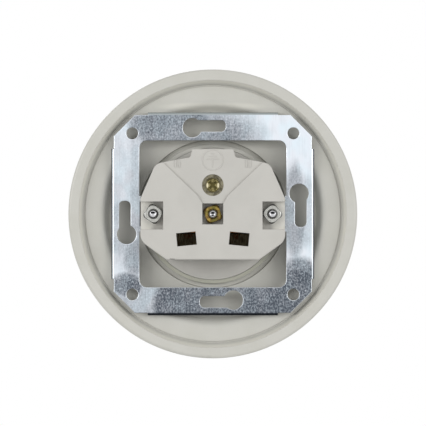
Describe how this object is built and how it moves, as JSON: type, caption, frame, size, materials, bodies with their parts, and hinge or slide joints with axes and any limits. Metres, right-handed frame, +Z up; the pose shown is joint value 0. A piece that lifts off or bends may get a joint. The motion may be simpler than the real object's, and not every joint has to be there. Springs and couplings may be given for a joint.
{
  "type": "wall socket",
  "caption": "Flush wall socket with a round domed cover, a collared cup with side earth contacts, a sheet-steel mounting frame and a moulded terminal block behind.",
  "frame": {"origin": "on the socket's axis, at the wall's surface", "axes": "+Z up as hung, +Y into the wall along the socket's axis, -Y towards the room"},
  "size_m": [0.1, 0.0411, 0.1],
  "materials": {
    "cover_plastic": "satin moulded plastic, warm light grey",
    "insert_plastic": "matte moulded plastic, warm light grey",
    "zinc_sheet": "bright zinc-plated sheet with a fine rolled grain",
    "screw_steel": "bright zinc-plated steel",
    "yellow_zinc": "yellow-passivated steel",
    "contact_brass": "plain brass"
  },
  "bodies": {
    "root": {"cover": "cover_plastic", "socket_cup": "cover_plastic", "mounting_frame": "zinc_sheet", "insert_base": "insert_plastic", "insert_front_plate": "insert_plastic", "centre_screw": "screw_steel", "centre_nut": "yellow_zinc", "frame_screw_left": "screw_steel", "frame_screw_right": "screw_steel", "frame_nut_left": "screw_steel", "frame_nut_right": "screw_steel", "live_contact": "contact_brass", "neutral_contact": "contact_brass", "live_clamp": "contact_brass", "neutral_clamp": "contact_brass", "live_terminal_screw": "screw_steel", "neutral_terminal_screw": "screw_steel", "earth_bracket": "contact_brass", "earth_clamp": "contact_brass", "earth_screw": "contact_brass"}
  },
  "joints": []
}
